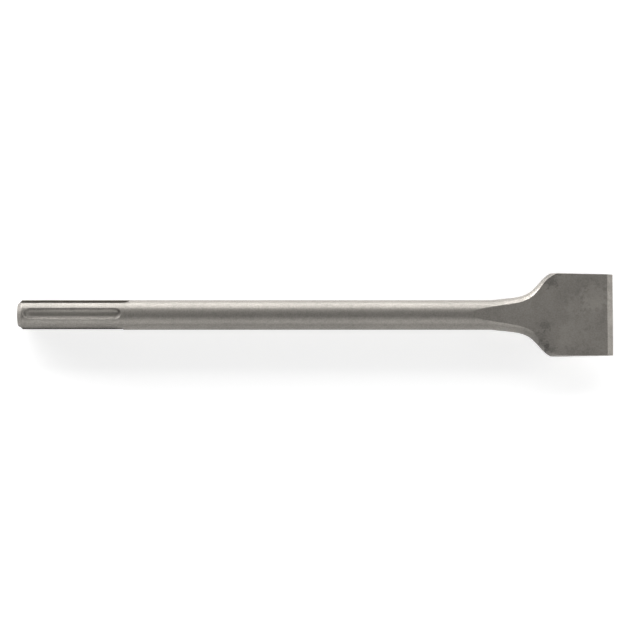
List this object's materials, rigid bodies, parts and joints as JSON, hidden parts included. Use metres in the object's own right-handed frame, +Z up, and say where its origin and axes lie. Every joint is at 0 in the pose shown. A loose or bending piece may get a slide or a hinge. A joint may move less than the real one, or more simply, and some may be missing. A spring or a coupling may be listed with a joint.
{
  "type": "flat chisel",
  "caption": "Wide flat chisel for a demolition hammer: a round slotted shank and shaft that flare into a thin wedge blade with a ground edge.",
  "frame": {"origin": "centre of the struck end, on the shank's axis", "axes": "+X runs along the tool's axis from the struck end to the cutting edge, Y runs across the blade's width with the pair of drive slots on +Y, and +Z is up, square to the blade's broad faces"},
  "size_m": [0.36, 0.05, 0.018],
  "materials": {
    "forged_steel": "shot-blasted satin"
  },
  "bodies": {
    "root": {"chisel": "forged_steel"}
  },
  "joints": []
}
